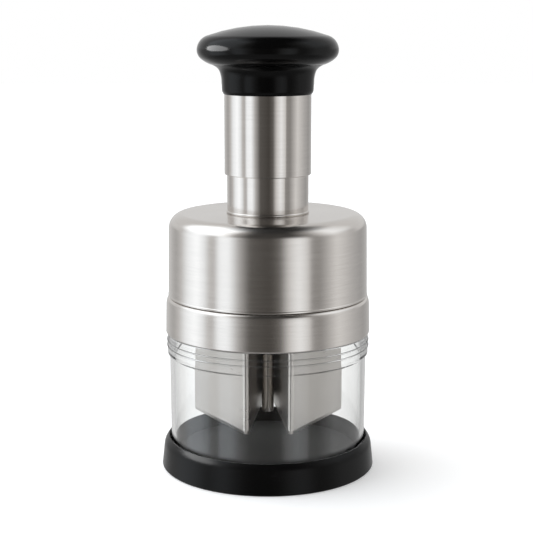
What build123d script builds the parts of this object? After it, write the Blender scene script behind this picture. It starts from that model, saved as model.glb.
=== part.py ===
from build123d import *
import os
from math import cos, radians, sin

# Plunger food chopper. Millimetres, +Z up, origin at the centre of the ring that it stands on.
# Profiles are drawn as (radius, height) and turned about +Z.

# Gaps
FIT = 0.05                      # between pieces that are pressed or clamped together
RUNNING = 0.06                  # radial, between a turning or sliding shaft and its bore
CLEAR = 0.3                     # between pieces that pass each other
OVERLAP = 0.5                   # how far a rib or boss runs into the wall that carries it

# Working stroke and index
STROKE = 17.5
INDEX_ANGLE = 45.0              # the blades turn this far in one stroke

# Base: tray and chopping board
FOOT_RADIUS = 52.7
FOOT_RING_BORE = 46.8
FOOT_RECESS = 1.4
FOOT_CHAMFER = 0.7
TRAY_SHOULDER = (51.65, 10.6)
TRAY_SHOULDER_CROWN = (50.95, 12.9)
TRAY_RIM = (49.6, 14.9)
TRAY_BORE = 49.05
TRAY_FLOOR = 3.2
PLINTH_RADIUS = 42.2
PLINTH_TOP = 4.3
BOARD_RADIUS = 45.4
BOARD_TOP = 8.0
BOARD_BEVEL = 0.6

# Cup
CUP_BORE = 45.9
CUP_WALL_FOOT = 48.1
CUP_WALL_TOP = 48.4
CUP_FLANGE_TOP = 14.4
CUP_COLLAR_RADIUS = 49.4
CUP_COLLAR_STEP = 57.6
CUP_COLLAR_TOP = 67.8
CUP_RIB_HEIGHTS = (61.4, 64.2)
CUP_RIB_PROUD = 0.4
CUP_NECK_RADIUS = 47.6
CUP_TOP = 79.0
CUP_EASE = 0.5

# Head shells
SHEET = 0.8                     # thickness of the pressed steel
DOME_TOP = 126.5
DOME_RADIUS_TOP = 48.15
DOME_RADIUS_FOOT = 48.7
DOME_FOOT = 86.05
DOME_SHOULDER = 5.2
DOME_LIP_HEIGHT = 1.1
DOME_LIP_RADIUS = 48.85
BAND_TOP = 85.85
BAND_FOOT = 68.05
BAND_RADIUS_TOP = 49.9
BAND_RADIUS_FOOT = 50.15
BAND_SHOULDER_START = (48.35, 85.85)
BAND_SHOULDER_CROWN = (49.4, 83.7)
BAND_SHOULDER_END = 80.5
LINER_FOOT = 68.4
LINER_TOP = 84.5
LINER_LEDGE_BORE = 46.2

# Head frame and the index gear in it
FRAME_RADIUS = 47.0
FRAME_WALL = 1.6
FRAME_TOP = 125.4
FRAME_PLATE = 2.0
FRAME_SHOULDER = 4.8
WEB_TOP = 121.0
WEB_UNDER = 117.6
SOCKET_RADIUS = 22.0
POCKET_BORE = 15.0
POCKET_WALL = 2.0
RETAINER_TOP = 108.5
RETAINER_UNDER = 106.4
RETAINER_RADIUS = 22.6
BOSS_CIRCLE = 19.6
BOSS_RADIUS = 2.5
BOSS_ANGLES = (30, 150, 270)
GUSSET_COUNT = 6
RIB_THICKNESS = 1.6
GUSSET_FOOT = 108.0

# Neck and outer sleeve
NECK_RADIUS = 19.8
NECK_TOP = 174.0
NECK_BEAD_HEIGHT = 127.2
NECK_BEAD_PROUD = 0.35
SLEEVE_RADIUS = 21.0
SLEEVE_WALL = 0.55
SLEEVE_ROLL = 0.44              # rounding of the sleeve's foot
SLEEVE_FOOT = 145.2
SLEEVE_TOP = 192.1

# Drive shaft
SHAFT_RADIUS = 3.0
SHAFT_FOOT = 26.5
SHAFT_CHAMFER = 0.6
SHAFT_SHOULDER = 169.8
SHAFT_COLLAR_RADIUS = 3.9
SHAFT_COLLAR_HEIGHT = 1.6
JOURNAL_RADIUS = 2.4
JOURNAL_TOP = 186.0
CIRCLIP_HEIGHT = 184.2
CIRCLIP_THICKNESS = 0.7
CIRCLIP_GROOVE_RADIUS = 1.9
PIN_HEIGHT = 113.5
PIN_RADIUS = 0.8
PIN_TIP = 2.25
PIN_HEAD = 8.2                  # radius at which the pins end, inside the teeth
GROOVE_FLOOR = 2.1
GROOVE_WIDTH = 1.8
GROOVE_OVERRUN = 2.5

# Index ring
RING_FOOT = 108.8
RING_TOP = 117.2
RING_ROOT = 9.2
RING_TIP = 10.8
RING_BORE = 3.4
RING_TEETH = 8
TOOTH_START = 15                # where the first ramp begins, degrees

# Guide bush
BUSH_RADIUS = 4.55
BUSH_FLANGE_RADIUS = 7.7
BUSH_FLANGE_THICKNESS = 1.2
BUSH_TOP = 125.0

# Pawl spring
LEAF_THICKNESS = 0.4
LEAF_INSET = 1.5                # from each end of the ring's teeth
PAWL_START = 100                # where the curved root begins on the pocket wall, degrees
PAWL_SPAN = 60
PAWL_LEAD = 2.5                 # of the finger's tip past a locking face, degrees
PAWL_LIFT = 0.9                 # of the finger's tip over the teeth's root

# Return spring
WIRE_RADIUS = 0.8
COIL_RADIUS = 13.0
COIL_TURNS = 7
SEAT_BORE = 9.2
SEAT_RADIUS = 17.6
SEAT_THICKNESS = 0.8
CUP_SEAT_UNDER = 165.8
CUP_SEAT_TOP = 170.6
CUP_SEAT_BORE = 7.3
CUP_SEAT_RADIUS = 17.0
CUP_SEAT_EDGE = 1.4
CUP_SEAT_PILOT = 2.0

# Blades and carrier
BLADE_FOLDS = ((-36.5, 6), (-9.4, -39.5), (0.3, 44), (9.9, -39.5), (37, 6))
BLADE_FOOT = 25.9
BLADE_THICKNESS = 0.7
BLADE_BEVEL = 1.6
BLADE_EDGE = 0.15
BLADE_BEND = 1.2
BLADE_SEAT = 3.0
CARRIER_RADIUS = 41.2
CARRIER_UNDER = 70.0
CARRIER_PLATE = 4.0
CARRIER_RIM_HEIGHT = 3.0
CARRIER_RIM_WIDTH = 2.0
CARRIER_RIBS = 8
CARRIER_HUB_RADIUS = 8.0
CARRIER_HUB_TOP = 86.0
NUT_FLATS = 10.0
NUT_HEIGHT = 3.6
NUT_CHAMFER = 0.8

# Knob and core
CORE_UNDER = 170.9
CORE_RADIUS = 18.4
CORE_FLANGE_RADIUS = 20.9
CORE_TOP = 195.0
CORE_WALL = 2.4
CORE_FLOOR = 4.0
CORE_CHAMFER = 1.0
CORE_HUB_RADIUS = 5.6
CORE_HUB_TOP = 183.0
KNOB_BOSS_CIRCLE = 12.6
KNOB_BOSS_RADIUS = 2.8
KNOB_NECK_FOOT = 184.0
KNOB_NECK_RADIUS = 21.98
KNOB_NECK_CHAMFER = 0.3
KNOB_NECK_WAIST = (22.2, 190.0)
KNOB_NECK_SWELL = ((23.0, 194.2), (24.4, 196.2))
KNOB_FLARE = (26.3, 197.4)
KNOB_WEB_UNDER = 195.2
KNOB_WEB_TOP = 198.0
SPIGOT_RADIUS = 25.35
SPIGOT_BORE = 23.6
SPIGOT_TOP = 202.6
CROWN_TOP = 216.2
CROWN_RADIUS = 33.9
CROWN_WIDEST = 204.8
CROWN_SHOULDER = (29.0, 211.3)
CROWN_TUCK = (32.1, 200.5)
CROWN_HOLLOW_SHOULDER = (21.0, 210.2)
CROWN_WALL = 2.8
CROWN_EDGE = (26.6, 197.55)

# Screws
SCREW_RADIUS = 1.25
SCREW_HEAD_RADIUS = 2.3
SCREW_HEAD_HEIGHT = 1.7
SCREW_SOCKET = 1.2
RETAINER_SCREW_LENGTH = 8.0
KNOB_SCREW_LENGTH = 12.0


def outline(*lines):
    """Face inside a closed run of lines, arcs and curves."""
    return make_face(Curve() + list(lines))


def section(*corners):
    """Face with straight sides through the corners."""
    return make_face(Polyline(*corners, close=True))


def eased(face, radius, *corners):
    """The face with the corners nearest to the given points rounded."""
    return fillet([face.vertices().sort_by_distance(corner)[0] for corner in corners], radius)


def tangent_chain(start, direction, *ends):
    """Arcs from point to point, each leaving in the direction in which the one before arrives."""
    arcs = []
    for end in ends:
        arcs.append(TangentArc(start, end, tangent=direction))
        start = end
        direction = arcs[-1] % 1
    return arcs


def turned(profile):
    """Solid of revolution about +Z of a (radius, height) profile."""
    return revolve(Plane.XZ * profile, Axis.Z)


def tube(outer, inner, low, high):
    """Plain ring between two radii and two heights."""
    return turned(section((inner, low), (outer, low), (outer, high), (inner, high)))


def around(shape, angles):
    """Copies of a shape turned about +Z."""
    return [Rot(0, 0, angle) * shape for angle in angles]


def even_angles(count, start=0.0):
    """Angles that share a full turn."""
    return [start + 360 * index / count for index in range(count)]


def base_tray():
    """Moulded tray with a foot ring, a rounded shoulder and a plinth for the board."""
    outside = Polyline(
        (0, FOOT_RECESS),
        (FOOT_RING_BORE - FOOT_RECESS, FOOT_RECESS),
        (FOOT_RING_BORE, 0),
        (FOOT_RADIUS - FOOT_CHAMFER, 0),
        (FOOT_RADIUS, FOOT_CHAMFER),
        TRAY_SHOULDER,
    )
    shoulder = ThreePointArc(TRAY_SHOULDER, TRAY_SHOULDER_CROWN, TRAY_RIM)
    inside = Polyline(
        TRAY_RIM,
        (TRAY_BORE, TRAY_RIM[1]),
        (TRAY_BORE, TRAY_FLOOR),
        (PLINTH_RADIUS, TRAY_FLOOR),
        (PLINTH_RADIUS, PLINTH_TOP),
        (0, PLINTH_TOP),
        (0, FOOT_RECESS),
    )
    return turned(outline(outside, shoulder, inside))


def chopping_board():
    """Disc with a bevelled edge and a recess that drops over the plinth."""
    return turned(section(
        (0, PLINTH_TOP + FIT),
        (PLINTH_RADIUS + CLEAR, PLINTH_TOP + FIT),
        (PLINTH_RADIUS + CLEAR, TRAY_FLOOR),
        (BOARD_RADIUS, TRAY_FLOOR),
        (BOARD_RADIUS, BOARD_TOP - BOARD_BEVEL),
        (BOARD_RADIUS - BOARD_BEVEL, BOARD_TOP),
        (0, BOARD_TOP),
    ))


def cup_rib(height):
    """Half-round rib on the cup's collar."""
    return Pos(CUP_COLLAR_RADIUS, height) * Circle(CUP_RIB_PROUD)


def cup():
    """Open clear cylinder: foot flange, long wall, ribbed collar and the neck that the head grips."""
    flange = TRAY_BORE - CLEAR
    wall = section(
        (CUP_BORE, TRAY_FLOOR + FIT),
        (flange, TRAY_FLOOR + FIT),
        (flange, CUP_FLANGE_TOP - CUP_EASE),
        (CUP_WALL_FOOT, CUP_FLANGE_TOP),
        (CUP_WALL_TOP, CUP_COLLAR_STEP - 2 * CUP_EASE),
        (CUP_COLLAR_RADIUS, CUP_COLLAR_STEP),
        (CUP_COLLAR_RADIUS, CUP_COLLAR_TOP),
        (CUP_NECK_RADIUS, CUP_COLLAR_TOP),
        (CUP_NECK_RADIUS, CUP_TOP),
        (CUP_BORE, CUP_TOP),
    )
    wall = eased(
        wall,
        CUP_EASE,
        (flange, TRAY_FLOOR + FIT),
        (CUP_BORE, TRAY_FLOOR + FIT),
        (CUP_COLLAR_RADIUS, CUP_COLLAR_TOP),
        (CUP_NECK_RADIUS, CUP_TOP),
        (CUP_BORE, CUP_TOP),
    )
    ribs = [cup_rib(height) for height in CUP_RIB_HEIGHTS]
    return turned(wall + ribs)


def dome_shell():
    """Drawn steel cover: flat top, rounded shoulder, slightly flared wall and a rolled foot lip."""
    hole = NECK_RADIUS + FIT
    sheet = section(
        (hole, DOME_TOP),
        (DOME_RADIUS_TOP, DOME_TOP),
        (DOME_RADIUS_FOOT, DOME_FOOT + DOME_LIP_HEIGHT),
        (DOME_LIP_RADIUS, DOME_FOOT + DOME_LIP_HEIGHT),
        (DOME_LIP_RADIUS, DOME_FOOT),
        (DOME_RADIUS_FOOT - SHEET, DOME_FOOT),
        (DOME_RADIUS_TOP - SHEET, DOME_TOP - SHEET),
        (hole, DOME_TOP - SHEET),
    )
    sheet = eased(sheet, DOME_SHOULDER, (DOME_RADIUS_TOP, DOME_TOP))
    sheet = eased(sheet, DOME_SHOULDER - SHEET, (DOME_RADIUS_TOP - SHEET, DOME_TOP - SHEET))
    return turned(eased(sheet, DOME_LIP_HEIGHT / 3, (DOME_LIP_RADIUS, DOME_FOOT)))


def steel_band():
    """Trim ring below the dome: rounded shoulder above, eased edge below."""
    shoulder_end = (BAND_RADIUS_TOP, BAND_SHOULDER_END)
    ease = SHEET / 3
    shoulder = ThreePointArc(BAND_SHOULDER_START, BAND_SHOULDER_CROWN, shoulder_end)
    rest = Polyline(
        shoulder_end,
        (BAND_RADIUS_FOOT, BAND_FOOT + ease),
        (BAND_RADIUS_FOOT - ease, BAND_FOOT),
        (BAND_RADIUS_FOOT - SHEET, BAND_FOOT),
        (BAND_RADIUS_TOP - SHEET, BAND_SHOULDER_END),
        (BAND_SHOULDER_START[0] - SHEET, BAND_TOP - SHEET),
        (BAND_SHOULDER_START[0] - SHEET, BAND_TOP),
        BAND_SHOULDER_START,
    )
    return turned(outline(shoulder, rest))


def band_liner():
    """Moulded ring in the steel band: grips the cup's neck and has a ledge over its top edge."""
    outer = BAND_RADIUS_TOP - SHEET - FIT
    bore = CUP_NECK_RADIUS + CLEAR
    ledge = CUP_TOP + CLEAR
    return turned(section(
        (bore, LINER_FOOT),
        (outer, LINER_FOOT),
        (outer, BAND_SHOULDER_END - OVERLAP),
        (LINER_LEDGE_BORE + SHEET, LINER_TOP),
        (LINER_LEDGE_BORE, LINER_TOP),
        (LINER_LEDGE_BORE, ledge),
        (bore, ledge),
    ))


def frame_profile():
    """Half-section of the head frame: bush web, neck socket, top plate and skirt."""
    inner = FRAME_RADIUS - FRAME_WALL
    plate_under = FRAME_TOP - FRAME_PLATE
    socket_bore = NECK_RADIUS + 2 * FIT
    pocket_outer = POCKET_BORE + POCKET_WALL
    bush_bore = BUSH_RADIUS + FIT
    profile = section(
        (bush_bore, WEB_TOP),
        (socket_bore, WEB_TOP),
        (socket_bore, FRAME_TOP),
        (FRAME_RADIUS, FRAME_TOP),
        (FRAME_RADIUS, LINER_TOP + FIT),
        (inner, LINER_TOP + FIT),
        (inner, plate_under),
        (SOCKET_RADIUS, plate_under),
        (SOCKET_RADIUS, WEB_UNDER),
        (pocket_outer, WEB_UNDER),
        (pocket_outer, RETAINER_TOP + FIT),
        (POCKET_BORE, RETAINER_TOP + FIT),
        (POCKET_BORE, WEB_UNDER),
        (bush_bore, WEB_UNDER),
    )
    profile = eased(profile, FRAME_SHOULDER, (FRAME_RADIUS, FRAME_TOP))
    return eased(profile, FRAME_SHOULDER - FRAME_WALL, (inner, plate_under))


def frame_gusset():
    """Gusset between the neck socket and the skirt, under the top plate."""
    inner = FRAME_RADIUS - FRAME_WALL
    plate_under = FRAME_TOP - FRAME_PLATE
    gusset = section(
        (SOCKET_RADIUS - OVERLAP, plate_under + OVERLAP),
        (inner + OVERLAP, plate_under - FRAME_SHOULDER),
        (inner + OVERLAP, GUSSET_FOOT),
        (SOCKET_RADIUS - OVERLAP, WEB_UNDER),
    )
    return extrude(Plane.XZ * gusset, RIB_THICKNESS / 2, both=True)


def post(circle, radius, low, high):
    """Upright cylinder on a circle, for a screw's boss or its hole."""
    return Pos(circle, 0, low) * Cylinder(radius, high - low, align=(Align.CENTER, Align.CENTER, Align.MIN))


def inner_frame():
    """Moulded head frame: skirt, gussets, bush web and the open pocket of the index gear."""
    body = turned(frame_profile())
    body += around(frame_gusset(), even_angles(GUSSET_COUNT))
    boss = post(BOSS_CIRCLE, BOSS_RADIUS, RETAINER_TOP + FIT, WEB_UNDER + OVERLAP)
    body += around(boss, BOSS_ANGLES)
    hole = post(BOSS_CIRCLE, SCREW_RADIUS + FIT, RETAINER_TOP, WEB_UNDER)
    return body - around(hole, BOSS_ANGLES)


def neck_tube():
    """Steel neck with the rolled bead that sits on the dome."""
    bore = NECK_RADIUS - SHEET
    foot = WEB_TOP + FIT
    wall = section((bore, foot), (NECK_RADIUS, foot), (NECK_RADIUS, NECK_TOP), (bore, NECK_TOP))
    bead = Pos(NECK_RADIUS - SHEET / 2, NECK_BEAD_HEIGHT) * Circle(SHEET / 2 + NECK_BEAD_PROUD)
    bead &= Pos(NECK_RADIUS, DOME_TOP + FIT) * Rectangle(SHEET, 2 * SHEET, align=(Align.CENTER, Align.MIN))
    return turned(wall + bead)


def guide_bush():
    """Flanged bush that guides the shaft."""
    bore = SHAFT_RADIUS + RUNNING
    return turned(section(
        (bore, WEB_UNDER + FIT),
        (BUSH_RADIUS, WEB_UNDER + FIT),
        (BUSH_RADIUS, WEB_TOP + FIT),
        (BUSH_FLANGE_RADIUS, WEB_TOP + FIT),
        (BUSH_FLANGE_RADIUS, WEB_TOP + BUSH_FLANGE_THICKNESS),
        (BUSH_RADIUS, BUSH_TOP),
        (bore, BUSH_TOP),
    ))


def spring_seat():
    """Washer under the return spring."""
    low = WEB_TOP + FIT
    return tube(SEAT_RADIUS, SEAT_BORE, low, low + SEAT_THICKNESS)


def return_spring():
    """Round-wire compression spring between its washer and its cup."""
    low = WEB_TOP + 2 * FIT + SEAT_THICKNESS + WIRE_RADIUS
    high = CUP_SEAT_UNDER - FIT - WIRE_RADIUS
    line = Helix(pitch=(high - low) / COIL_TURNS, height=high - low, radius=COIL_RADIUS, center=(0, 0, low))
    wire = Plane(origin=line @ 0, z_dir=line % 0) * Circle(WIRE_RADIUS)
    return sweep(wire, path=line, is_frenet=True)


def tooth_corners(angle):
    """Two corners of a saw tooth: the foot of its ramp and the tip of its locking face."""
    start = radians(angle)
    end = radians(angle + 360 / RING_TEETH)
    return [
        (RING_ROOT * cos(start), RING_ROOT * sin(start)),
        (RING_TIP * cos(end), RING_TIP * sin(end)),
    ]


def ring_teeth():
    """Outline of the saw teeth that the pawl locks."""
    corners = []
    for angle in even_angles(RING_TEETH, start=TOOTH_START):
        corners += tooth_corners(angle)
    return make_face(Polyline(*corners, close=True))


def pin_bar(radius):
    """Bar across the shaft at the pins' height."""
    return Pos(0, 0, PIN_HEIGHT) * Rot(0, 90, 0) * Cylinder(radius, 2 * PIN_HEAD)


def drive_ring():
    """Index ring: saw teeth outside, bore and cross holes for the guide pins inside."""
    height = RING_TOP - RING_FOOT
    ring = Pos(0, 0, RING_FOOT) * extrude(ring_teeth(), height)
    ring -= Pos(0, 0, PIN_HEIGHT) * Cylinder(RING_BORE, 2 * height)
    return ring - pin_bar(PIN_RADIUS + FIT)


def guide_pins():
    """The two pins whose tips run in the shaft's grooves."""
    return pin_bar(PIN_RADIUS) - Pos(0, 0, PIN_HEIGHT) * Cylinder(PIN_TIP, 4 * PIN_RADIUS)


def pawl_spring():
    """Leaf spring: its curved root lies on the pocket wall, its finger leans on a tooth's locking face."""
    root = CenterArc((0, 0), POCKET_BORE - LEAF_THICKNESS - FIT, PAWL_START, PAWL_SPAN)
    locking_face = radians(TOOTH_START + 360 / RING_TEETH + PAWL_LEAD)
    reach = RING_ROOT + PAWL_LIFT
    tip = (reach * cos(locking_face), reach * sin(locking_face))
    leaf = trace([root, Line(root @ 0, tip)], LEAF_THICKNESS)
    return Pos(0, 0, RING_FOOT + LEAF_INSET) * extrude(leaf, RING_TOP - RING_FOOT - 2 * LEAF_INSET)


def ring_retainer():
    """Plate that closes the gear pocket and guides the shaft a second time."""
    plate = tube(RETAINER_RADIUS, SHAFT_RADIUS + RUNNING, RETAINER_UNDER, RETAINER_TOP)
    hole = post(BOSS_CIRCLE, SCREW_RADIUS + FIT, RETAINER_UNDER, RETAINER_TOP)
    return plate - around(hole, BOSS_ANGLES)


def pan_screw(length):
    """Pan-head screw hanging from z = 0 with its head above, and a square socket in the head."""
    head = Cylinder(SCREW_HEAD_RADIUS, SCREW_HEAD_HEIGHT, align=(Align.CENTER, Align.CENTER, Align.MIN))
    head = fillet(head.edges().group_by(Axis.Z)[-1], SCREW_HEAD_HEIGHT / 2)
    shank = Cylinder(SCREW_RADIUS, length, align=(Align.CENTER, Align.CENTER, Align.MAX))
    socket = Box(SCREW_SOCKET, SCREW_SOCKET, SCREW_HEAD_HEIGHT)
    return head + shank - Pos(0, 0, SCREW_HEAD_HEIGHT) * socket


def retainer_screws():
    """Three screws that hold the retainer from below."""
    screw = Pos(BOSS_CIRCLE, 0, RETAINER_UNDER - FIT) * Rot(180, 0, 0) * pan_screw(RETAINER_SCREW_LENGTH)
    return Compound(children=around(screw, BOSS_ANGLES))


def groove_cutter():
    """Steep helical key-way: a small rectangle swept along the index helix."""
    length = STROKE + 2 * GROOVE_OVERRUN
    pitch = STROKE * 360 / INDEX_ANGLE
    depth = SHAFT_RADIUS - GROOVE_FLOOR
    line = Helix(pitch=pitch, height=length, radius=SHAFT_RADIUS)
    key = Plane(origin=line @ 0, x_dir=(1, 0, 0), z_dir=line % 0) * Rectangle(2 * depth, GROOVE_WIDTH)
    groove = sweep(key, path=line, is_frenet=True)
    turn_back = -INDEX_ANGLE * GROOVE_OVERRUN / STROKE
    return Pos(0, 0, PIN_HEIGHT - GROOVE_OVERRUN) * Rot(0, 0, turn_back) * groove


def drive_shaft():
    """Stepped shaft with two helical grooves, a collar under the carrier and a circlip groove."""
    collar_top = CARRIER_UNDER - FIT
    groove_top = CIRCLIP_HEIGHT + CIRCLIP_THICKNESS + FIT
    shaft = turned(section(
        (0, SHAFT_FOOT),
        (SHAFT_RADIUS - SHAFT_CHAMFER, SHAFT_FOOT),
        (SHAFT_RADIUS, SHAFT_FOOT + SHAFT_CHAMFER),
        (SHAFT_RADIUS, collar_top - SHAFT_COLLAR_HEIGHT),
        (SHAFT_COLLAR_RADIUS, collar_top - SHAFT_COLLAR_HEIGHT),
        (SHAFT_COLLAR_RADIUS, collar_top),
        (SHAFT_RADIUS, collar_top),
        (SHAFT_RADIUS, SHAFT_SHOULDER),
        (JOURNAL_RADIUS, SHAFT_SHOULDER),
        (JOURNAL_RADIUS, CIRCLIP_HEIGHT - FIT),
        (CIRCLIP_GROOVE_RADIUS, CIRCLIP_HEIGHT - FIT),
        (CIRCLIP_GROOVE_RADIUS, groove_top),
        (JOURNAL_RADIUS, groove_top),
        (JOURNAL_RADIUS, JOURNAL_TOP),
        (0, JOURNAL_TOP),
    ))
    return shaft - around(groove_cutter(), (0, 180))


def thrust_washer():
    """Washer on the shaft's shoulder, under the plunger core."""
    low = SHAFT_SHOULDER + FIT
    return tube(CUP_SEAT_BORE - CLEAR, JOURNAL_RADIUS + FIT, low, low + SEAT_THICKNESS)


def shaft_circlip():
    """Open ring in the journal's groove, over the plunger core."""
    top = CIRCLIP_HEIGHT + CIRCLIP_THICKNESS
    ring = tube(2 * JOURNAL_RADIUS, CIRCLIP_GROOVE_RADIUS + FIT, CIRCLIP_HEIGHT, top)
    from_axis = (Align.MIN, Align.CENTER, Align.CENTER)
    gap = Box(4 * JOURNAL_RADIUS, JOURNAL_RADIUS, 4 * CIRCLIP_THICKNESS, align=from_axis)
    return ring - Pos(0, 0, CIRCLIP_HEIGHT) * gap


def blade_line():
    """Plan of the folded strip: two outer legs and two inner legs that pass beside the shaft."""
    return FilletPolyline(*BLADE_FOLDS, radius=BLADE_BEND)


def blade_strip(thickness, edge, low, high):
    """Strip swept along its folds, with a cutting bevel along its lower edge."""
    line = blade_line()
    half = thickness / 2
    leg = make_face(Polyline(
        (-edge / 2, low),
        (edge / 2, low),
        (half, low + BLADE_BEVEL),
        (half, high),
        (-half, high),
        (-half, low + BLADE_BEVEL),
        close=True,
    ))
    upright = Plane(origin=line @ 0, x_dir=Vector(0, 0, 1).cross(line % 0), z_dir=line % 0)
    return sweep(upright * leg, path=line, transition=Transition.RIGHT)


def zigzag_blade():
    """One folded steel strip, sharpened below and let into the carrier above."""
    return blade_strip(BLADE_THICKNESS, BLADE_EDGE, BLADE_FOOT, CARRIER_UNDER + BLADE_SEAT - FIT)


def carrier_rib():
    """Radial rib on top of the carrier plate, falling from the hub to the rim."""
    plate_top = CARRIER_UNDER + CARRIER_PLATE
    rim_bore = CARRIER_RADIUS - CARRIER_RIM_WIDTH
    rib = section(
        (CARRIER_HUB_RADIUS - OVERLAP, plate_top - OVERLAP),
        (rim_bore + OVERLAP, plate_top - OVERLAP),
        (rim_bore + OVERLAP, plate_top + CARRIER_RIM_HEIGHT),
        (CARRIER_HUB_RADIUS - OVERLAP, CARRIER_HUB_TOP - CARRIER_RIM_HEIGHT),
    )
    return extrude(Plane.XZ * rib, RIB_THICKNESS / 2, both=True)


def blade_carrier():
    """Moulded disc on the shaft: rimmed plate, hub and ribs, with the zigzag slot of the strip below."""
    plate_top = CARRIER_UNDER + CARRIER_PLATE
    bore = SHAFT_RADIUS + FIT
    rim_bore = CARRIER_RADIUS - CARRIER_RIM_WIDTH
    disc = turned(section(
        (bore, CARRIER_UNDER),
        (CARRIER_RADIUS, CARRIER_UNDER),
        (CARRIER_RADIUS, plate_top + CARRIER_RIM_HEIGHT),
        (rim_bore, plate_top + CARRIER_RIM_HEIGHT),
        (rim_bore, plate_top),
        (CARRIER_HUB_RADIUS, plate_top),
        (CARRIER_HUB_RADIUS, CARRIER_HUB_TOP),
        (bore, CARRIER_HUB_TOP),
    ))
    disc += around(carrier_rib(), even_angles(CARRIER_RIBS))
    width = BLADE_THICKNESS + 2 * FIT
    slot = blade_strip(width, width, CARRIER_UNDER - BLADE_SEAT, CARRIER_UNDER + BLADE_SEAT)
    shaft_way = Cylinder(bore, 2 * CARRIER_HUB_TOP)
    return disc - slot - shaft_way


def hub_nut():
    """Hexagon nut that clamps the carrier down on the shaft's collar."""
    nut = extrude(RegularPolygon(NUT_FLATS / 2, 6, major_radius=False), NUT_HEIGHT)
    corner = NUT_FLATS / 2 + NUT_CHAMFER
    nut &= turned(section(
        (0, 0),
        (corner, 0),
        (corner, NUT_HEIGHT - NUT_CHAMFER),
        (NUT_FLATS / 2, NUT_HEIGHT),
        (0, NUT_HEIGHT),
    ))
    nut -= Cylinder(SHAFT_RADIUS + FIT, 4 * NUT_HEIGHT)
    return Pos(0, 0, CARRIER_HUB_TOP + FIT) * nut


def spring_cup():
    """Turned seat on the spring's upper end, carried up against the plunger core."""
    pilot = COIL_RADIUS - 2 * WIRE_RADIUS
    return turned(section(
        (CUP_SEAT_BORE, CUP_SEAT_UNDER - CUP_SEAT_PILOT),
        (pilot, CUP_SEAT_UNDER - CUP_SEAT_PILOT),
        (pilot, CUP_SEAT_UNDER),
        (CUP_SEAT_RADIUS, CUP_SEAT_UNDER),
        (CUP_SEAT_RADIUS, CUP_SEAT_UNDER + CUP_SEAT_EDGE),
        (pilot, CUP_SEAT_TOP),
        (CUP_SEAT_BORE, CUP_SEAT_TOP),
    ))


def outer_sleeve():
    """Steel sleeve that slides over the neck, with a lightly rolled foot."""
    bore = SLEEVE_RADIUS - SLEEVE_WALL
    foot_edge = (SLEEVE_RADIUS, SLEEVE_FOOT)
    wall = section((bore, SLEEVE_FOOT), foot_edge, (SLEEVE_RADIUS, SLEEVE_TOP), (bore, SLEEVE_TOP))
    return turned(eased(wall, SLEEVE_ROLL, foot_edge))


def plunger_core():
    """Moulded plug in the sleeve: bearing hub for the journal, screw bosses, flange over the sleeve."""
    floor = CORE_UNDER + CORE_FLOOR
    bore = JOURNAL_RADIUS + RUNNING
    core = turned(section(
        (bore, CORE_UNDER),
        (CORE_RADIUS - CORE_CHAMFER, CORE_UNDER),
        (CORE_RADIUS, CORE_UNDER + CORE_CHAMFER),
        (CORE_RADIUS, SLEEVE_TOP + FIT),
        (CORE_FLANGE_RADIUS, SLEEVE_TOP + FIT),
        (CORE_FLANGE_RADIUS, CORE_TOP),
        (CORE_RADIUS - CORE_WALL, CORE_TOP),
        (CORE_RADIUS - CORE_WALL, floor),
        (CORE_HUB_RADIUS, floor),
        (CORE_HUB_RADIUS, CORE_HUB_TOP),
        (bore, CORE_HUB_TOP),
    ))
    boss = post(KNOB_BOSS_CIRCLE, KNOB_BOSS_RADIUS, floor - OVERLAP, CORE_TOP)
    core += around(boss, BOSS_ANGLES)
    hole = post(KNOB_BOSS_CIRCLE, SCREW_RADIUS + FIT, CORE_TOP - KNOB_SCREW_LENGTH, CORE_TOP)
    return core - around(hole, BOSS_ANGLES)


def knob_neck():
    """Flared grip collar over the sleeve's top, with a screwed web and the spigot of the crown."""
    bore = SLEEVE_RADIUS + FIT
    waist = Polyline(
        (bore, KNOB_WEB_UNDER),
        (bore, KNOB_NECK_FOOT),
        (KNOB_NECK_RADIUS - KNOB_NECK_CHAMFER, KNOB_NECK_FOOT),
        (KNOB_NECK_RADIUS, KNOB_NECK_FOOT + KNOB_NECK_CHAMFER),
        KNOB_NECK_WAIST,
    )
    flare = tangent_chain(KNOB_NECK_WAIST, waist % 1, *KNOB_NECK_SWELL, KNOB_FLARE)
    top = Polyline(
        KNOB_FLARE,
        (SPIGOT_RADIUS, KNOB_FLARE[1]),
        (SPIGOT_RADIUS, SPIGOT_TOP),
        (SPIGOT_BORE, SPIGOT_TOP),
        (SPIGOT_BORE, KNOB_WEB_TOP),
        (CORE_HUB_RADIUS, KNOB_WEB_TOP),
        (CORE_HUB_RADIUS, KNOB_WEB_UNDER),
        (bore, KNOB_WEB_UNDER),
    )
    neck = turned(outline(waist, *flare, top))
    hole = post(KNOB_BOSS_CIRCLE, SCREW_RADIUS + FIT, KNOB_WEB_UNDER, KNOB_WEB_TOP)
    return neck - around(hole, BOSS_ANGLES)


def knob_screws():
    """Three screws that clamp the knob's web to the core."""
    screw = Pos(KNOB_BOSS_CIRCLE, 0, KNOB_WEB_TOP + FIT) * pan_screw(KNOB_SCREW_LENGTH)
    return Compound(children=around(screw, BOSS_ANGLES))


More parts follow.
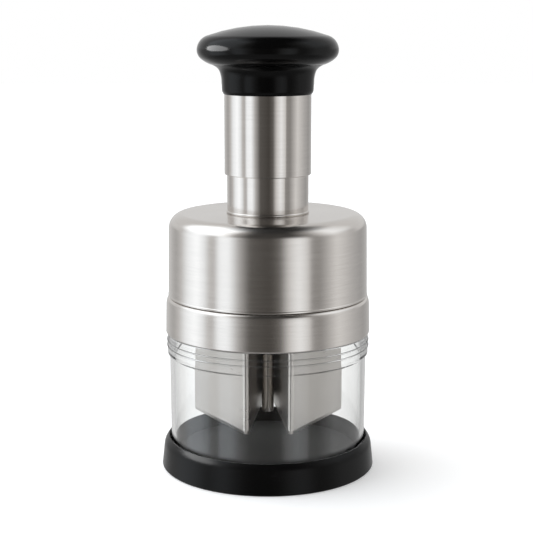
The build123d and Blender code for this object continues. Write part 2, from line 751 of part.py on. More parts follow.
def knob_cap():
    """Hollow mushroom crown: shallow dome, full rounded edge, tucked underside."""
    crown = tangent_chain(
        (0, CROWN_TOP),
        (1, 0),
        CROWN_SHOULDER,
        (CROWN_RADIUS, CROWN_WIDEST),
        CROWN_TUCK,
        CROWN_EDGE,
    )
    bore = SPIGOT_RADIUS + FIT
    ceiling = (0, CROWN_TOP - CROWN_WALL)
    mouth_top = (bore, SPIGOT_TOP + CLEAR)
    mouth = Polyline(CROWN_EDGE, (bore, CROWN_EDGE[1]), mouth_top)
    hollow = tangent_chain(ceiling, (1, 0), CROWN_HOLLOW_SHOULDER, mouth_top)
    axis = Line(ceiling, (0, CROWN_TOP))
    return turned(outline(*crown, mouth, *hollow, axis))


PIECES = {
    "base_tray": base_tray,
    "chopping_board": chopping_board,
    "cup": cup,
    "dome_shell": dome_shell,
    "steel_band": steel_band,
    "band_liner": band_liner,
    "inner_frame": inner_frame,
    "neck_tube": neck_tube,
    "guide_bush": guide_bush,
    "spring_seat": spring_seat,
    "return_spring": return_spring,
    "drive_ring": drive_ring,
    "guide_pins": guide_pins,
    "pawl_spring": pawl_spring,
    "ring_retainer": ring_retainer,
    "retainer_screws": retainer_screws,
    "drive_shaft": drive_shaft,
    "thrust_washer": thrust_washer,
    "shaft_circlip": shaft_circlip,
    "zigzag_blade": zigzag_blade,
    "blade_carrier": blade_carrier,
    "hub_nut": hub_nut,
    "spring_cup": spring_cup,
    "outer_sleeve": outer_sleeve,
    "plunger_core": plunger_core,
    "knob_neck": knob_neck,
    "knob_screws": knob_screws,
    "knob_cap": knob_cap,
}

os.makedirs("parts", exist_ok=True)
for name, make in PIECES.items():
    export_step(make(), f"parts/{name}.step")
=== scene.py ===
import bmesh
import bpy
from math import atan2, cos, pi, radians, sin, tan
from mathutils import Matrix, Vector


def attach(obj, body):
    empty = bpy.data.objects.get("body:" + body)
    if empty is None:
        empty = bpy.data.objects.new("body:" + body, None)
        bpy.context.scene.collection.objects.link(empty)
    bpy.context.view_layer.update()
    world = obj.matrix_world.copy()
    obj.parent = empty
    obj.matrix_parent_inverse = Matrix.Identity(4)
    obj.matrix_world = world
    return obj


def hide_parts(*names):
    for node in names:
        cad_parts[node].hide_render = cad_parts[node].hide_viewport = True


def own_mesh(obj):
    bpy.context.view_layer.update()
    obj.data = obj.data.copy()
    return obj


# Looks of the plunger food chopper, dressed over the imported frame. Scene units are metres.
# Profiles are written in millimetres as (radius, height) and turned about +Z.

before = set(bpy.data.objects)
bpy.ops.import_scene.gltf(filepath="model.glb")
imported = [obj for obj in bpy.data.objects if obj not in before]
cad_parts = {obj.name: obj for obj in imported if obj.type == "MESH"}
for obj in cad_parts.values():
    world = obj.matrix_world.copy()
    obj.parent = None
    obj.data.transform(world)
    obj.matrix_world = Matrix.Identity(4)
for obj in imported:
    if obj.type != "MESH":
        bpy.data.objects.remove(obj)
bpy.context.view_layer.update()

MM = 0.001
SEGMENTS = 192                          # round the axis, for every turned piece
ARC_STEP = radians(5)                   # along a profile's arcs
SHARP = radians(40)                     # edges that turn more than this stay crisp
TOUCHING = 1e-7                         # metres; points closer than this are one


# ---------------------------------------------------------------- camera
CAMERA_PLACE = (-0.00063, -0.64636, 0.21842)
CAMERA_PITCH = radians(10.4218)         # below the horizon
CAMERA_LENS = 90.434                    # millimetres
CAMERA_SENSOR = 36.0                    # millimetres across
CAMERA_REACH = (0.01, 50.0)             # nearest and farthest that it sees


def make_camera():
    """Camera at the photograph's viewpoint."""
    data = bpy.data.cameras.new("camera")
    data.lens = CAMERA_LENS
    data.sensor_width = CAMERA_SENSOR
    data.clip_start, data.clip_end = CAMERA_REACH
    camera = bpy.data.objects.new("camera", data)
    camera.location = CAMERA_PLACE
    camera.rotation_euler = (pi / 2 - CAMERA_PITCH, 0, 0)
    bpy.context.scene.collection.objects.link(camera)
    bpy.context.scene.camera = camera


# ---------------------------------------------------------------- node trees
class Tree:
    """A shader node tree that is wired up by naming sockets."""

    def __init__(self, tree):
        self.tree = tree
        tree.nodes.clear()

    def add(self, kind, inputs=None, **settings):
        """New node; an input may be a plain value or another node's output."""
        node = self.tree.nodes.new("ShaderNode" + kind)
        for name, value in settings.items():
            setattr(node, name, value)
        for name, value in (inputs or {}).items():
            if isinstance(value, bpy.types.NodeSocket):
                self.tree.links.new(value, node.inputs[name])
            else:
                node.inputs[name].default_value = value
        return node

    def math(self, operation, first, second=0.0):
        """Output of one Math node."""
        return self.add("Math", {0: first, 1: second}, operation=operation).outputs[0]

    def spread(self, value, span, reach=(0.0, 1.0), smooth=False):
        """Value mapped from a span to a reach, and held at its ends."""
        sockets = {
            "Value": value,
            "From Min": span[0], "From Max": span[1],
            "To Min": reach[0], "To Max": reach[1],
        }
        kind = "SMOOTHSTEP" if smooth else "LINEAR"
        return self.add("MapRange", sockets, interpolation_type=kind).outputs["Result"]

    def noise(self, vector, scale, detail=2.0, roughness=0.5):
        """Noise value about 0.5."""
        sockets = {"Vector": vector, "Scale": scale, "Detail": detail, "Roughness": roughness}
        return self.add("TexNoise", sockets).outputs["Fac"]

    def shared(self, first, share, second):
        """One value with its share and another with the rest, added up."""
        rest = self.math("MULTIPLY", second, 1 - share)
        return self.math("ADD", self.math("MULTIPLY", first, share), rest)

    def mix_colour(self, factor, first, second):
        """Blend of two colours."""
        node = self.add("Mix", data_type="RGBA")
        for index, value in ((0, factor), (6, first), (7, second)):
            if isinstance(value, bpy.types.NodeSocket):
                self.tree.links.new(value, node.inputs[index])
            else:
                node.inputs[index].default_value = value
        return node.outputs[2]

    def mix_shader(self, factor, first, second):
        """Blend of two shaders."""
        return self.add("MixShader", {0: factor, 1: first, 2: second}).outputs[0]

    def scaled(self, vector, factors):
        """Vector with each coordinate multiplied."""
        return self.add("VectorMath", {0: vector, 1: factors}, operation="MULTIPLY").outputs[0]

    def bump(self, height, strength, depth):
        """Normal that follows a height value; the depth is in metres."""
        return self.add("Bump", {"Strength": strength, "Distance": depth, "Height": height}).outputs[0]

    def principled(self, sockets):
        """Principled shader with these sockets."""
        return self.add("BsdfPrincipled", sockets).outputs[0]


def grey(value, warm=0.0):
    """Grey as an RGBA colour, with red raised and blue lowered by warm."""
    return (value * (1 + warm), value, value * (1 - warm), 1.0)


def material(name):
    """New material with an empty tree."""
    made = bpy.data.materials.new(name)
    made.use_nodes = True
    return made, Tree(made.node_tree)


def finish_material(tree, shader):
    """Sends a shader to the output."""
    tree.add("OutputMaterial", {"Surface": shader})


def place(tree):
    """Object coordinates, which are the frame's own metres."""
    return tree.add("TexCoord").outputs["Object"]


def brush_coordinates(tree, round_axis, along_profile):
    """Coordinates that change slowly round the axis and fast along a profile, with no seam."""
    position = place(tree)
    split = tree.add("SeparateXYZ", {0: position})
    flat = tree.scaled(position, (1, 1, 0))
    radius = tree.add("VectorMath", {0: flat}, operation="LENGTH").outputs["Value"]
    line = tree.math("SUBTRACT", split.outputs["Z"], radius)
    sockets = {
        0: tree.math("MULTIPLY", split.outputs["X"], round_axis),
        1: tree.math("MULTIPLY", split.outputs["Y"], round_axis),
        2: tree.math("MULTIPLY", line, along_profile),
    }
    return tree.add("CombineXYZ", sockets).outputs[0]


# ---------------------------------------------------------------- materials
# Noise scales are waves in a metre. Bump depths are metres.
MOST = (0.3, 0.7)                       # where most of a noise lies
MIDDLE = (0.35, 0.65)

STEEL_WARMTH = 0.05
BRUSH_FINE = (70, 2600)                 # round the axis, along the profile
BRUSH_BROAD = (35, 420)
BRUSH_SMUDGE = 38.0
BRUSH_STREAK = 0.05                     # share by which the tone changes
GRAIN_DEPTH = 0.00002
GRAIN_CLOUD = 60.0

MOULD_DRIFT = 45.0
MOULD_SPECK = 2500.0
MOULD_DEPTH = 0.0001

CLEAR_TINT = (0.985, 0.99, 0.985, 1)
CLEAR_SCUFFED = (0.96, 0.965, 0.96, 1)
CLEAR_SHADOW = (0.93, 0.93, 0.93, 1)    # what passes on of a lamp's light
CLEAR_IOR = 1.49
CLEAR_SCUFF = 160.0
CLEAR_WAVE = 90.0
CLEAR_DEPTH = 0.0002

BOARD_SCORES = (60, 1400, 60)
BOARD_CROSS_SCORES = (1400, 60, 60)
BOARD_DEPTH = 0.00005


def steel_tones(tone, streak):
    """Darkest and lightest steel of a streaked surface."""
    return grey(tone * (1 - streak), STEEL_WARMTH), grey(tone * (1 + streak), STEEL_WARMTH)


def brushed_steel(name, tone, rough, stretch):
    """Steel brushed round the axis: streaks in tone, roughness and a fine bump."""
    made, tree = material(name)
    fine = tree.noise(brush_coordinates(tree, *BRUSH_FINE), 1.0, detail=3.0, roughness=0.6)
    broad = tree.noise(brush_coordinates(tree, *BRUSH_BROAD), 1.0)
    smudge = tree.noise(place(tree), BRUSH_SMUDGE)
    streaks = tree.shared(fine, 0.8, broad)
    finish_material(tree, tree.principled({
        "Base Color": tree.mix_colour(tree.spread(streaks, MOST), *steel_tones(tone, BRUSH_STREAK)),
        "Metallic": 1.0,
        "Roughness": tree.math(
            "ADD",
            tree.spread(streaks, MOST, (rough - 0.02, rough + 0.025)),
            tree.spread(smudge, MIDDLE, (-0.015, 0.02)),
        ),
        "Anisotropic": stretch,
        "Anisotropic Rotation": 0.25,
        "Tangent": tree.add("Tangent", direction_type="RADIAL", axis="Z").outputs[0],
        "Normal": tree.bump(fine, 0.08, GRAIN_DEPTH),
    }))
    return made


def plain_steel(name, tone, rough, grain=(40, 40, 900), bump=0.08, streak=0.055):
    """Ground or drawn steel with a straight grain."""
    made, tree = material(name)
    lines = tree.noise(tree.scaled(place(tree), grain), 1.0, detail=3.0, roughness=0.6)
    mixed = tree.shared(lines, 0.6, tree.noise(place(tree), GRAIN_CLOUD))
    finish_material(tree, tree.principled({
        "Base Color": tree.mix_colour(tree.spread(mixed, MOST), *steel_tones(tone, streak)),
        "Metallic": 1.0,
        "Roughness": tree.spread(mixed, MOST, (rough * 0.8, rough * 1.25)),
        "Normal": tree.bump(lines, bump, GRAIN_DEPTH),
    }))
    return made


def moulded(name, colour, rough, bump=0.2, specular=0.5):
    """Moulded plastic: faint tone and roughness drift over a fine moulded grain."""
    made, tree = material(name)
    drift = tree.noise(place(tree), MOULD_DRIFT, detail=3.0)
    speck = tree.noise(place(tree), MOULD_SPECK)
    low, high = (tuple(channel * share for channel in colour) + (1.0,) for share in (0.88, 1.14))
    finish_material(tree, tree.principled({
        "Base Color": tree.mix_colour(tree.spread(drift, MIDDLE), low, high),
        "Roughness": tree.math(
            "ADD",
            tree.spread(drift, MIDDLE, (rough * 0.93, rough * 1.08)),
            tree.spread(speck, MIDDLE, (-0.02, 0.02)),
        ),
        "Specular IOR Level": specular,
        "Normal": tree.bump(speck, bump, MOULD_DEPTH),
    }))
    return made


def clear_plastic(name):
    """Clear moulded cup: refracts, with faint scuffs, and lets lamp light through to what it holds."""
    made, tree = material(name)
    scuff = tree.noise(tree.scaled(place(tree), (1, 1, 0.4)), CLEAR_SCUFF, detail=4.0, roughness=0.6)
    wave = tree.noise(place(tree), CLEAR_WAVE)
    clear = tree.principled({
        "Base Color": tree.mix_colour(tree.spread(scuff, (0.4, 0.7)), CLEAR_TINT, CLEAR_SCUFFED),
        "Transmission Weight": 1.0,
        "IOR": CLEAR_IOR,
        "Roughness": tree.spread(scuff, (0.45, 0.75), (0.01, 0.06)),
        "Normal": tree.bump(wave, 0.04, CLEAR_DEPTH),
    })
    through = tree.add("BsdfTransparent", {"Color": CLEAR_SHADOW}).outputs[0]
    shadow = tree.add("LightPath").outputs["Is Shadow Ray"]
    finish_material(tree, tree.mix_shader(shadow, clear, through))
    return made


def worn_board(name):
    """Dark matt board with fine chopping scores across it."""
    made, tree = material(name)
    position = place(tree)
    score = tree.noise(tree.scaled(position, BOARD_SCORES), 1.0)
    cross = tree.noise(tree.scaled(position, BOARD_CROSS_SCORES), 1.0)
    cut = tree.math(
        "MULTIPLY", tree.spread(score, (0.6, 0.75)), tree.spread(cross, (0.4, 0.6), (0.3, 1.0))
    )
    finish_material(tree, tree.principled({
        "Base Color": tree.mix_colour(cut, grey(0.01), grey(0.03)),
        "Roughness": tree.spread(cut, (0.0, 1.0), (0.6, 0.72)),
        "Specular IOR Level": 0.25,
        "Normal": tree.bump(cut, 0.3, BOARD_DEPTH),
    }))
    return made


FINISHES = {
    "steel": brushed_steel("steel", tone=0.63, rough=0.195, stretch=0.3),
    "neck_steel": brushed_steel("neck_steel", tone=0.61, rough=0.1, stretch=0.4),
    "collar_black": moulded("collar_black", (0.002, 0.002, 0.002), 0.14, bump=0.06, specular=0.13),
    "crown_black": moulded("crown_black", (0.002, 0.002, 0.002), 0.14, bump=0.03, specular=0.16),
    "tray_black": moulded("tray_black", (0.003, 0.003, 0.003), 0.24, specular=0.13),
    "board_dark": worn_board("board_dark"),
    "frame_black": moulded("frame_black", (0.02, 0.02, 0.02), 0.5),
    "acetal": moulded("acetal", (0.72, 0.72, 0.70), 0.42),
    "clear": clear_plastic("clear"),
    "blade": plain_steel("blade", tone=0.66, rough=0.32, grain=(30, 30, 450), bump=0.01, streak=0.03),
    "bright": plain_steel("bright", tone=0.7, rough=0.16, grain=(300, 300, 60)),
    "zinc": plain_steel("zinc", tone=0.62, rough=0.3, grain=(400, 400, 400)),
    "wire": plain_steel("wire", tone=0.5, rough=0.28, grain=(300, 300, 300)),
    "brass": plain_steel("brass", tone=0.5, rough=0.3),
}


# ---------------------------------------------------------------- studio
# What the steel mirrors, as (bearing, level, warmth). The bearing is in degrees round the axis, from
# the camera's side towards +X. The low ring is at the object's height, the high ring is above it.
LOW_RING = (
    (-180, 0.75, 0.0), (-150, 0.66, 0.0), (-130, 0.5, 0.0), (-117, 0.72, 0.0), (-104, 1.3, -0.05),
    (-88, 1.6, -0.05), (-77, 1.25, -0.05), (-70, 0.72, 0.0), (-63, 0.62, 0.0), (-57, 1.4, -0.05),
    (-45, 1.45, -0.05), (-33, 0.58, 0.0), (-21, 0.13, 0.05), (3, 0.075, 0.08), (14, 0.16, 0.05),
    (24, 0.85, 0.0), (35.5, 1.25, -0.03), (47.5, 0.86, 0.0), (50, 0.36, 0.02), (61, 0.34, 0.02),
    (85, 0.92, 0.0), (112, 0.6, 0.0), (134, 0.44, 0.0), (156, 0.55, 0.0), (180, 0.75, 0.0),
)
HIGH_RING = (
    (-180, 0.9, 0.0), (-146, 1.0, 0.0), (-124, 1.85, -0.05), (-66, 2.0, -0.05), (-52, 1.3, -0.02),
    (-42, 0.45, 0.02), (-24, 0.045, 0.05), (34, 0.06, 0.05), (56, 0.4, 0.02), (72, 0.9, 0.0),
    (86, 1.35, -0.03), (104, 1.15, -0.03), (130, 0.85, 0.0), (180, 0.9, 0.0),
)
TABLE_LEVEL = 0.4                       # below
BACKDROP_LEVEL = 0.76                   # behind
OVERHEAD_LEVEL = 0.03                   # above

# Where each part of the surroundings fades in, by a coordinate of the direction looked in.
HIGH_RING_UP = (0.2, 0.5)
TABLE_UP = (-0.35, -0.6)
BACKDROP_AWAY = (0.4, 0.62)
BACKDROP_UP = (0.0, 0.1)
OVERHEAD_UP = (0.72, 0.95)
OVERHEAD_LEAN = 0.3                     # how much higher that starts towards the left


def ring_of_light(tree, bearing, stops):
    """Light round the horizon from (degrees, level, warmth) stops."""
    peak = max(level for _, level, _ in stops)
    ramp = tree.add("ValToRGB", {"Fac": bearing})
    marks = ramp.color_ramp.elements
    while len(marks) < len(stops):
        marks.new(0.5)
    for mark, (degrees, level, warmth) in zip(marks, stops):
        mark.position = degrees / 360 + 0.5
        mark.color = grey(level / peak, warmth)
    return tree.scaled(ramp.outputs["Color"], (peak, peak, peak))


def surroundings(tree):
    """Colour of the soft boxes, dark flags, table and backdrop, by direction."""
    split = tree.add("SeparateXYZ", {0: tree.add("TexCoord").outputs["Generated"]})
    across, away, up = (split.outputs[name] for name in "XYZ")
    turn_angle = tree.math("ARCTAN2", across, tree.math("MULTIPLY", away, -1.0))
    bearing = tree.math("ADD", tree.math("DIVIDE", turn_angle, 2 * pi), 0.5)
    low_ring = ring_of_light(tree, bearing, LOW_RING)
    high_ring = ring_of_light(tree, bearing, HIGH_RING)
    colour = tree.mix_colour(tree.spread(up, HIGH_RING_UP, smooth=True), low_ring, high_ring)
    colour = tree.mix_colour(tree.spread(up, TABLE_UP, smooth=True), colour, grey(TABLE_LEVEL))
    behind = tree.math(
        "MULTIPLY", tree.spread(away, BACKDROP_AWAY, smooth=True), tree.spread(up, BACKDROP_UP, smooth=True)
    )
    colour = tree.mix_colour(behind, colour, grey(BACKDROP_LEVEL))
    lean = tree.math("MULTIPLY", tree.math("MINIMUM", across, 0.0), OVERHEAD_LEAN)
    overhead = tree.spread(tree.math("ADD", up, lean), OVERHEAD_UP, smooth=True)
    return tree.mix_colour(overhead, colour, grey(OVERHEAD_LEVEL))


def seen_directly(tree, seen):
    """1 where the camera looks straight, or through clear plastic alone; seen is a Light Path node."""
    bounced = tree.math("ADD", seen.outputs["Glossy Depth"], seen.outputs["Diffuse Depth"])
    unbounced = tree.math("LESS_THAN", bounced, 0.5)
    through = tree.math("MULTIPLY", seen.outputs["Is Transmission Ray"], unbounced)
    return tree.math("MAXIMUM", seen.outputs["Is Camera Ray"], through)


def studio_world():
    """White to the camera; the surroundings to whatever mirrors or gathers light."""
    world = bpy.data.worlds.new("studio")
    bpy.context.scene.world = world
    world.use_nodes = True
    tree = Tree(world.node_tree)
    white = seen_directly(tree, tree.add("LightPath"))
    colour = tree.mix_colour(white, surroundings(tree), grey(1.0))
    background = tree.add("Background", {"Color": colour, "Strength": 1.0}).outputs[0]
    tree.add("OutputWorld", {"Surface": background})


FLOOR_SIZE = 8.0
FLOOR_SHADE = 0.88
FLOOR_GLOW = 0.3


def studio_floor():
    """White floor that keeps a soft shadow; mirrors look through it, to the surroundings."""
    mesh = bpy.data.meshes.new("floor")
    half = FLOOR_SIZE / 2
    corners = [(-half, -half, 0), (half, -half, 0), (half, half, 0), (-half, half, 0)]
    mesh.from_pydata(corners, [], [(0, 1, 2, 3)])
    floor = bpy.data.objects.new("floor", mesh)
    bpy.context.scene.collection.objects.link(floor)
    made, tree = material("floor_white")
    seen = tree.add("LightPath")
    matt = tree.add("BsdfDiffuse", {"Color": grey(FLOOR_SHADE)}).outputs[0]
    glow = tree.add("Emission", {"Color": grey(1.0), "Strength": FLOOR_GLOW}).outputs[0]
    lit = tree.add("AddShader", {0: matt, 1: glow}).outputs[0]
    surface = tree.mix_shader(seen_directly(tree, seen), matt, lit)
    clear = tree.add("BsdfTransparent").outputs[0]
    finish_material(tree, tree.mix_shader(seen.outputs["Is Glossy Ray"], surface, clear))
    mesh.materials.append(made)


SUNS = (                                # name, direction, strength, spread in degrees
    ("key", (0.26, -0.22, -1.0), 1.2, 45),      # from the upper left, behind
    ("fill", (-0.3, 0.8, -0.7), 0.25, 90),      # weak, from the front right
)
LEFT_BOX = {
    "place_at": (-0.5, 0.0, 0.31), "aim": (0.0, 0.0, 0.2), "width": 0.46, "height": 0.26, "watts": 3.2,
}


def add_lamp(name, data, direction):
    """Lamp that shines in a direction."""
    lamp = bpy.data.objects.new(name, data)
    lamp.rotation_mode = "QUATERNION"
    lamp.rotation_quaternion = Vector(direction).to_track_quat("-Z", "Y")
    bpy.context.scene.collection.objects.link(lamp)
    return lamp


def broad_sun(name, direction, strength, spread):
    """Even soft light from one side, the same all over the floor, that no mirror shows."""
    data = bpy.data.lights.new(name, "SUN")
    data.energy = strength
    data.angle = radians(spread)
    add_lamp(name, data, direction).visible_glossy = False


def soft_box(name, place_at, aim, width, height, watts):
    """Oval soft light aimed at a point."""
    data = bpy.data.lights.new(name, "AREA")
    data.shape = "ELLIPSE"
    data.size, data.size_y = width, height
    data.energy = watts
    lamp = add_lamp(name, data, Vector(aim) - Vector(place_at))
    lamp.location = place_at
    return lamp


def left_highlights(mirrors):
    """Small soft box at the left that only the moulded black pieces mirror."""
    box = soft_box("left_box", **LEFT_BOX)
    box.visible_camera = False
    box.visible_transmission = False
    lit = bpy.data.collections.new("left_box_lights")
    for piece in mirrors:
        lit.objects.link(piece)
    box.light_linking.receiver_collection = lit


# ---------------------------------------------------------------- profiles and turned meshes
def rounded(*corners):
    """Profile through (radius, height, rounding) corners, with each rounding as an arc."""
    points = []
    for index, (radius, height, ease) in enumerate(corners):
        corner = Vector((radius, height))
        if not ease:
            points.append(corner)
            continue
        before = (Vector(corners[index - 1][:2]) - corner).normalized()
        after = (Vector(corners[(index + 1) % len(corners)][:2]) - corner).normalized()
        half = before.angle(after) / 2
        centre = corner + (before + after).normalized() * (ease / sin(half))
        start = corner + before * (ease / tan(half)) - centre
        turn = pi - 2 * half
        if before.cross(after) > 0:
            turn = -turn
        steps = max(2, round(abs(turn) / ARC_STEP))
        points += [centre + turned_by(start, turn * step / steps) for step in range(steps + 1)]
    return points


def turned_by(vector, angle):
    """A 2D vector turned anticlockwise."""
    x, y = vector
    return Vector((x * cos(angle) - y * sin(angle), x * sin(angle) + y * cos(angle)))


def tangent_chain(start, direction, *ends):
    """Points of arcs from end to end, each leaving in the direction in which the one before arrives."""
    points = [Vector(start)]
    heading = Vector(direction).normalized()
    for end in ends:
        origin = points[-1]
        chord = Vector(end) - origin
        swing = atan2(heading.cross(chord), heading.dot(chord))
        steps = max(2, round(abs(2 * swing) / ARC_STEP))
        side = turned_by(heading, pi / 2) * (chord.length / (2 * sin(swing)))
        for step in range(1, steps + 1):
            points.append(origin + side + turned_by(-side, 2 * swing * step / steps))
        heading = turned_by(heading, 2 * swing)
    return points


def half_round(radius, height, proud, half_height):
    """Points of a bead that stands proud of a wall, from its foot up."""
    turns = [radians(degrees) for degrees in range(-90, 91, 15)]
    return [(radius + proud * cos(turn), height + half_height * sin(turn)) for turn in turns]


def turn(name, profile, finish, slot, body, node):
    """Closed mesh of revolution of a closed profile; it stands for a CAD node."""
    work = bmesh.new()
    dots = [work.verts.new((point[0] * MM, 0, point[1] * MM)) for point in profile]
    sides = []
    for index, dot in enumerate(dots):
        other = dots[(index + 1) % len(dots)]
        if dot.co.x > TOUCHING or other.co.x > TOUCHING:
            sides.append(work.edges.new((dot, other)))
    bmesh.ops.spin(
        work, geom=dots + sides, cent=(0, 0, 0), axis=(0, 0, 1), angle=2 * pi, steps=SEGMENTS,
        use_duplicate=False,
    )
    bmesh.ops.remove_doubles(work, verts=work.verts[:], dist=TOUCHING)
    return finished_piece(name, work, finish, body, node)


def finished_piece(name, work, finish, body, node):
    """Object from a bmesh, smooth but for its sharp edges, that rides on a body and stands for a node."""
    bmesh.ops.recalc_face_normals(work, faces=work.faces[:])
    for face in work.faces:
        face.smooth = True
    for edge in work.edges:
        edge.smooth = edge.is_manifold and edge.calc_face_angle(0) < SHARP
    mesh = bpy.data.meshes.new(name)
    work.to_mesh(mesh)
    work.free()
    piece = bpy.data.objects.new(name, mesh)
    bpy.context.scene.collection.objects.link(piece)
    mesh.materials.append(FINISHES[finish])
    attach(piece, body)
    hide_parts(node)
    return piece


# ---------------------------------------------------------------- the object's turned pieces
# Heights and radii that a profile uses twice or that other pieces meet have names. The other numbers
# are a profile's own corners.
SHEET = 0.8                             # drawn steel

DOME_HOLE = 19.85
DOME_WALL = 48.15                       # radius under the shoulder
DOME_LIP = 48.85                        # radius of the rolled foot
DOME_FOOT = 86.05
DOME_TOP = 126.5
DOME_SHOULDER = 7.2
DOME_SHOULDER_INSIDE = 5.6

BAND_FOOT = 68.05
BAND_TOP = 85.75
BAND_BORE = 47.55                       # at the top

NECK_BORE = 19.0
NECK_FOOT = 121.05
NECK_TOP = 174.0
NECK_EASE = 0.3                         # bevel of the top edge
NECK_BEAD = (127.15, 0.35, 0.6)         # height, how far proud, half its height

SLEEVE_BORE = 20.45
SLEEVE_RADIUS = 21.0
SLEEVE_FOOT = 145.2
SLEEVE_TOP = 192.1

COLLAR_FOOT = 183.6
COLLAR_WEB_FOOT = 195.2                 # the web across the collar's inside
COLLAR_WEB_TOP = 198.0
COLLAR_SHOULDER = 197.4                 # just under the crown's rim
COLLAR_BORE = 5.6                       # hole in the web
COLLAR_MOUTH = 21.05                    # bore round the sleeve
SPIGOT_RADIUS = 25.35
SPIGOT_BORE = 23.6
SPIGOT_TOP = 202.6

CROWN_BORE = 25.4
CROWN_FOOT = 197.55
CROWN_TOP = 216.2
CROWN_WALL = 2.8                        # at the middle

CUP_BORE = 45.9
CUP_FOOT = 3.25
CUP_TOP = 79.0
CUP_NECK = 47.6
CUP_COLLAR = 49.4
CUP_COLLAR_TOP = 67.8
CUP_RIBS = (61.4, 64.2)                 # heights
CUP_RIB_PROUD = 0.4

TRAY_SOLE = 1.4                         # the underside, inside the foot ring
TRAY_WALL = (51.65, 10.6)               # where the shoulder starts
TRAY_TOP = 14.9
TRAY_BORE = 49.05
TRAY_FLOOR = 3.2
PLINTH_RADIUS = 42.2
PLINTH_TOP = 4.3


def dome_profile():
    """Drawn cover with its rounded shoulder and rolled foot lip."""
    inside = DOME_TOP - SHEET
    return rounded(
        (DOME_HOLE, DOME_TOP, 0), (DOME_WALL, DOME_TOP, DOME_SHOULDER), (48.7, 87.15, 0.1),
        (DOME_LIP, 86.9, 0.1), (DOME_LIP, DOME_FOOT, 0.3), (47.9, DOME_FOOT, 0.2),
        (DOME_WALL - SHEET, inside, DOME_SHOULDER_INSIDE), (DOME_HOLE, inside, 0),
    )


def band_profile():
    """Trim ring: swelling shoulder above and an eased edge below."""
    shoulder = tangent_chain((49.9, 81.6), (-0.0215, 1), (49.45, 84.3), (48.25, BAND_TOP))
    foot = [(50.12, 68.9), (50.15, 68.5), (50.0, 68.15), (49.7, BAND_FOOT), (49.35, BAND_FOOT)]
    inner = [(49.1, 80.5), (BAND_BORE, 85.05), (BAND_BORE, 85.5)]
    return shoulder[::-1] + foot + inner


def neck_profile():
    """Neck tube with the rolled bead that sits on the dome."""
    outside = NECK_BORE + SHEET
    top = [(outside, NECK_TOP - NECK_EASE), (outside - NECK_EASE, NECK_TOP), (NECK_BORE, NECK_TOP)]
    return [(NECK_BORE, NECK_FOOT), (outside, NECK_FOOT)] + half_round(outside, *NECK_BEAD) + top


def sleeve_profile():
    """Sliding sleeve with a lightly rolled foot."""
    return rounded(
        (SLEEVE_BORE, SLEEVE_FOOT, 0.1), (SLEEVE_RADIUS, SLEEVE_FOOT, 0.44),
        (SLEEVE_RADIUS, SLEEVE_TOP, 0), (SLEEVE_BORE, SLEEVE_TOP, 0),
    )


def neck_collar_profile():
    """Flared collar of the knob, with the spigot that holds the crown."""
    foot = tangent_chain((COLLAR_MOUTH, COLLAR_FOOT), (0.7, 0.72), (22.05, 185.9))
    flare = tangent_chain((22.2, 190.0), (0.035, 1), (23.0, 194.2), (24.4, 196.2), (26.3, COLLAR_SHOULDER))
    spigot = [
        (SPIGOT_RADIUS, COLLAR_SHOULDER), (SPIGOT_RADIUS, SPIGOT_TOP), (SPIGOT_BORE, SPIGOT_TOP),
        (SPIGOT_BORE, COLLAR_WEB_TOP),
    ]
    web = [
        (COLLAR_BORE, COLLAR_WEB_TOP), (COLLAR_BORE, COLLAR_WEB_FOOT), (COLLAR_MOUTH, COLLAR_WEB_FOOT),
    ]
    return foot + flare + spigot + web


def crown_profile():
    """Mushroom crown, hollow below."""
    outer = tangent_chain(
        (0, CROWN_TOP), (1, 0), (29.0, 211.3), (33.9, 204.8), (32.1, 200.5), (26.6, CROWN_FOOT)
    )
    inner = tangent_chain((0, CROWN_TOP - CROWN_WALL), (1, 0), (21.0, 210.2), (CROWN_BORE, 202.9))
    return outer + [(CROWN_BORE, CROWN_FOOT)] + inner[::-1]


def cup_profile():
    """Clear cup: foot flange, wall, ribbed collar and neck."""
    ribs = [
        (*dot, 0) for height in CUP_RIBS
        for dot in half_round(CUP_COLLAR, height, CUP_RIB_PROUD, CUP_RIB_PROUD)
    ]
    return rounded(
        (CUP_BORE, CUP_FOOT, 0.5), (48.75, CUP_FOOT, 0.5), (48.75, 13.9, 0.3), (48.1, 14.4, 0.5),
        (48.4, 56.6, 0.6), (CUP_COLLAR, 57.6, 0.3), *ribs, (CUP_COLLAR, CUP_COLLAR_TOP, 0.5),
        (CUP_NECK, CUP_COLLAR_TOP, 0), (CUP_NECK, CUP_TOP, 0.5), (CUP_BORE, CUP_TOP, 0.5),
    )


def tray_profile():
    """Base tray: foot ring, rounded shoulder, bore and plinth."""
    foot = rounded(
        (0, TRAY_SOLE, 0), (45.4, TRAY_SOLE, 0), (46.8, 0, 0.1), (52.0, 0, 0.5), (52.7, 0.7, 0.5),
        (*TRAY_WALL, 0),
    )
    shoulder = tangent_chain(TRAY_WALL, (-0.1, 1), (50.95, 12.9), (49.6, TRAY_TOP))
    inner = [
        (49.3, TRAY_TOP), (TRAY_BORE, 14.75), (TRAY_BORE, TRAY_FLOOR), (PLINTH_RADIUS, TRAY_FLOOR),
        (PLINTH_RADIUS, PLINTH_TOP), (0, PLINTH_TOP),
    ]
    return foot[:-1] + shoulder + inner


# ---------------------------------------------------------------- the return spring
# Millimetres; "wire" is the wire's radius.
SPRING = {"foot": 121.9, "top": 165.75, "radius": 13.0, "wire": 0.8, "turns": 9, "stroke": 17.5}
SPRING_STEPS = 40                       # per turn
SPRING_SIDES = 14                       # round the wire
SPRING_CLOSED = 0.75                    # turns that stay closed at each end
SPRING_OPENING = 0.6                    # turns over which it opens


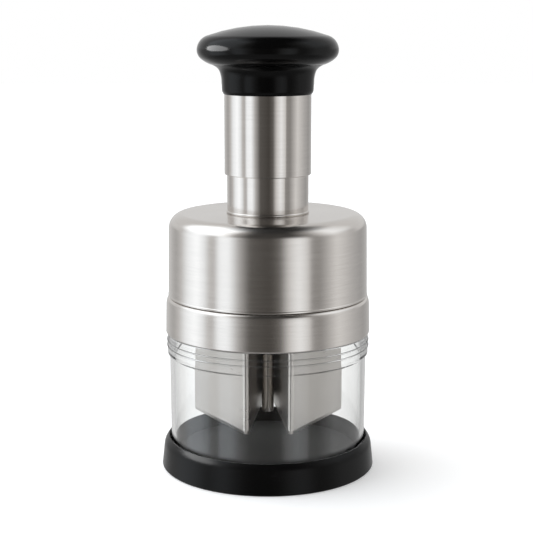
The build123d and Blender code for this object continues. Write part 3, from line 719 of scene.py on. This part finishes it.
def coil_heights():
    """Height of the wire's middle at each step: closed end coils, open ones between them."""
    foot = SPRING["foot"] + SPRING["wire"] / 2
    top = SPRING["top"] - SPRING["wire"] / 2
    count = SPRING["turns"] * SPRING_STEPS
    openness = []
    for step in range(count):
        from_end = min(step + 0.5, count - step - 0.5) / SPRING_STEPS
        openness.append(min(max((from_end - SPRING_CLOSED) / SPRING_OPENING, 0.0), 1.0))
    closed_rise = 2 * SPRING["wire"] / SPRING_STEPS
    open_rise = (top - foot - closed_rise * count) / sum(openness)
    heights = [foot]
    for share in openness:
        heights.append(heights[-1] + closed_rise + open_rise * share)
    return heights


def wire_ring(work, turned, height):
    """Vertices round the wire, where it has turned by an angle; the ends are ground flat."""
    ring = []
    for side in range(SPRING_SIDES):
        round_wire = 2 * pi * side / SPRING_SIDES
        reach = SPRING["radius"] + SPRING["wire"] * cos(round_wire)
        level = height + SPRING["wire"] * sin(round_wire)
        level = min(max(level, SPRING["foot"]), SPRING["top"])
        ring.append(work.verts.new((reach * cos(turned) * MM, reach * sin(turned) * MM, level * MM)))
    return ring


def coil_spring():
    """Return spring with closed and ground ends."""
    work = bmesh.new()
    rings = [
        wire_ring(work, 2 * pi * step / SPRING_STEPS, height) for step, height in enumerate(coil_heights())
    ]
    for ring, other in zip(rings, rings[1:]):
        for side in range(SPRING_SIDES):
            after = (side + 1) % SPRING_SIDES
            work.faces.new((ring[side], other[side], other[after], ring[after]))
    work.faces.new(rings[0])
    work.faces.new(rings[-1][::-1])
    piece = finished_piece("coil_spring", work, "wire", "head", "return_spring")
    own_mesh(piece)


# ---------------------------------------------------------------- the whole scene
TURNED = (                              # name, profile, finish, slot, body, node
    ("dome", dome_profile, "steel", "brushed_steel", "head", "dome_shell"),
    ("band", band_profile, "steel", "brushed_steel", "head", "steel_band"),
    ("neck", neck_profile, "neck_steel", "brushed_steel", "head", "neck_tube"),
    ("sleeve", sleeve_profile, "neck_steel", "brushed_steel", "plunger", "outer_sleeve"),
    ("knob_collar", neck_collar_profile, "collar_black", "satin_black", "plunger", "knob_neck"),
    ("knob_crown", crown_profile, "crown_black", "gloss_black", "plunger", "knob_cap"),
    ("clear_cup", cup_profile, "clear", "clear_cup", "cup", "cup"),
    ("tray", tray_profile, "tray_black", "black_tray", "base", "base_tray"),
)

CAD_FINISHES = {
    "chopping_board": "board_dark", "band_liner": "frame_black", "inner_frame": "frame_black",
    "guide_bush": "brass", "spring_seat": "zinc", "drive_ring": "acetal",
    "guide_pins": "bright", "pawl_spring": "wire", "ring_retainer": "acetal", "retainer_screws": "zinc",
    "drive_shaft": "bright", "thrust_washer": "zinc", "shaft_circlip": "wire", "zigzag_blade": "blade",
    "blade_carrier": "acetal", "hub_nut": "zinc", "spring_cup": "acetal", "plunger_core": "frame_black",
    "knob_screws": "zinc",
}


def dress_cad():
    """Gives the CAD nodes that stay in view their finishes."""
    for node, finish in CAD_FINISHES.items():
        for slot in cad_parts[node].material_slots:
            slot.material = FINISHES[finish]


bpy.context.scene.view_settings.view_transform = "Standard"
make_camera()
studio_world()
studio_floor()
for sun in SUNS:
    broad_sun(*sun)
dress_cad()
pieces = {name: turn(name, profile(), *rest) for name, profile, *rest in TURNED}
coil_spring()
left_highlights((pieces["knob_crown"], pieces["tray"]))
